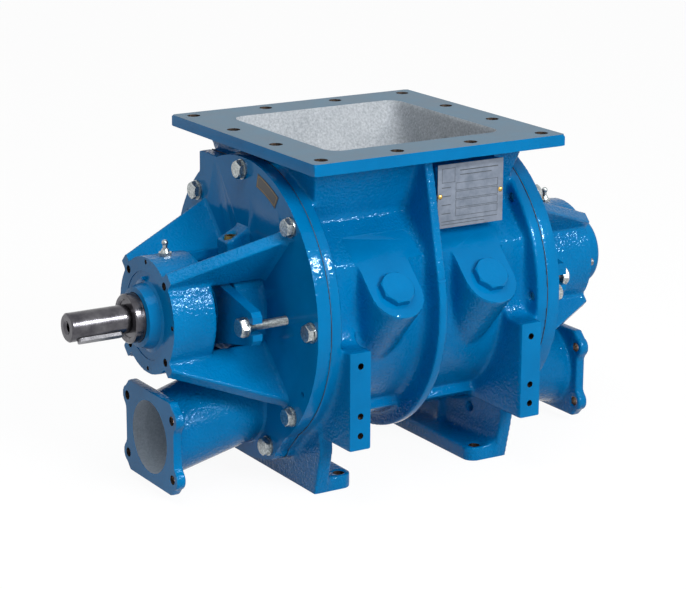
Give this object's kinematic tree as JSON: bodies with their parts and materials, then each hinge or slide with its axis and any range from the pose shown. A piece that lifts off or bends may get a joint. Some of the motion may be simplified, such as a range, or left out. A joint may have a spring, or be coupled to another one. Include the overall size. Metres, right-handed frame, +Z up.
{
  "type": "rotary airlock valve",
  "caption": "Blow-through rotary airlock valve with a square inlet flange, outboard bearings, packed glands, pipe stubs at both ends and a keyed drive shaft.",
  "frame": {"origin": "on the floor in the middle of the four foot holes, straight under the shaft axis", "axes": "+X along the shaft from the drive end to the blind end, -Y to the front with the plugs and pads, +Z up to the inlet"},
  "size_m": [0.635, 0.3309, 0.359],
  "materials": {
    "enamel": "gloss blue enamel on rough cast iron",
    "gasket": "matt fibre sheet",
    "zinc": "bright zinc plate",
    "steel": "machined steel",
    "ground_steel": "ground and polished steel",
    "brass": "turned brass",
    "seal_rubber": "nitrile rubber",
    "packing": "braided gland packing",
    "plate": "satin aluminium sheet",
    "label": "matt film"
  },
  "bodies": {
    "root": {"housing": "enamel", "drive_end_cover": "enamel", "blind_end_cover": "enamel", "drive_cover_gasket": "gasket", "blind_cover_gasket": "gasket", "drive_cover_bolts": "zinc", "blind_cover_bolts": "zinc", "drive_cover_washers": "zinc", "blind_cover_washers": "zinc", "drive_bearing_outer_race": "steel", "blind_bearing_outer_race": "steel", "drive_bearing_cap": "enamel", "blind_bearing_cap": "enamel", "drive_cap_pin": "enamel", "blind_cap_grub_screw": "zinc", "drive_shaft_seal": "seal_rubber", "drive_inboard_seal": "seal_rubber", "blind_inboard_seal": "seal_rubber", "drive_packing_rings": "packing", "blind_packing_rings": "packing", "drive_lantern_ring": "brass", "blind_lantern_ring": "brass", "drive_purge_bushing": "brass", "blind_purge_bushing": "brass", "drive_grease_nipple": "zinc", "blind_grease_nipple": "zinc", "blind_relief_fitting": "brass", "left_port_plug": "enamel", "right_port_plug": "enamel", "nameplate": "plate", "nameplate_rivets": "brass", "rotation_label": "label"},
    "rotor_set": {"rotor": "steel", "shaft": "ground_steel", "shaft_key": "ground_steel", "rotor_pins": "steel", "drive_collar": "ground_steel", "blind_lock_nut": "steel", "blind_lock_washer": "steel", "drive_bearing_inner_race": "steel", "blind_bearing_inner_race": "steel"},
    "drive_cage_set": {"drive_bearing_balls": "ground_steel", "drive_bearing_cage": "brass"},
    "blind_cage_set": {"blind_bearing_balls": "ground_steel", "blind_bearing_cage": "brass"},
    "drive_gland_set": {"drive_gland": "enamel", "drive_gland_bolts": "zinc"},
    "blind_gland_set": {"blind_gland": "enamel", "blind_gland_bolts": "zinc"}
  },
  "joints": [
    {"name": "rotor_spin", "type": "hinge", "parent": "root", "child": "rotor_set", "pos_m": [0, 0, 0.1875], "axis": [1, 0, 0], "continuous": true},
    {"name": "drive_cage_spin", "type": "hinge", "parent": "root", "child": "drive_cage_set", "pos_m": [0, 0, 0.1875], "axis": [1, 0, 0], "continuous": true},
    {"name": "blind_cage_spin", "type": "hinge", "parent": "root", "child": "blind_cage_set", "pos_m": [0, 0, 0.1875], "axis": [1, 0, 0], "continuous": true},
    {"name": "drive_gland_take_up", "type": "slide", "parent": "root", "child": "drive_gland_set", "axis": [1, 0, 0], "range_m": [0, 0.003]},
    {"name": "blind_gland_take_up", "type": "slide", "parent": "root", "child": "blind_gland_set", "axis": [-1, 0, 0], "range_m": [0, 0.003]}
  ],
  "couplings": [
    {"joint": "drive_cage_spin", "follows": "rotor_spin", "ratio": 0.3846},
    {"joint": "blind_cage_spin", "follows": "rotor_spin", "ratio": 0.3846}
  ]
}
